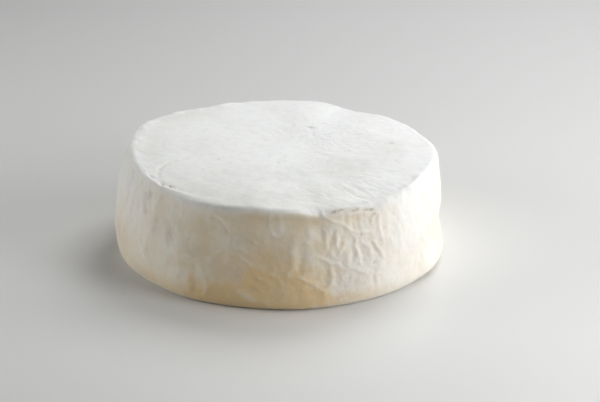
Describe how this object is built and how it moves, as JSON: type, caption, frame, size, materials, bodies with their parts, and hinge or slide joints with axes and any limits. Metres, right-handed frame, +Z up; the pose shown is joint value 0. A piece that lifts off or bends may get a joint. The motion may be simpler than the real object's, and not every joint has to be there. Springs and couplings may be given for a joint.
{
  "type": "soft goat cheese wheel",
  "caption": "Whole round wheel of soft goat cheese in a white bloomy rind, with a nearly flat top, a soft rim and wrinkled, gently slumped sides.",
  "frame": {"origin": "middle of the base, at the level that the wheel rests on", "axes": "+Z up through the flat faces of the wheel; -Y is the front, with the crumpled rind at the front right; +X to the right"},
  "size_m": [0.189, 0.1952, 0.0622],
  "materials": {
    "rind": "matt white bloomy rind, a little ivory low on the side"
  },
  "bodies": {
    "root": {"cheese_wheel": "rind"}
  },
  "joints": []
}
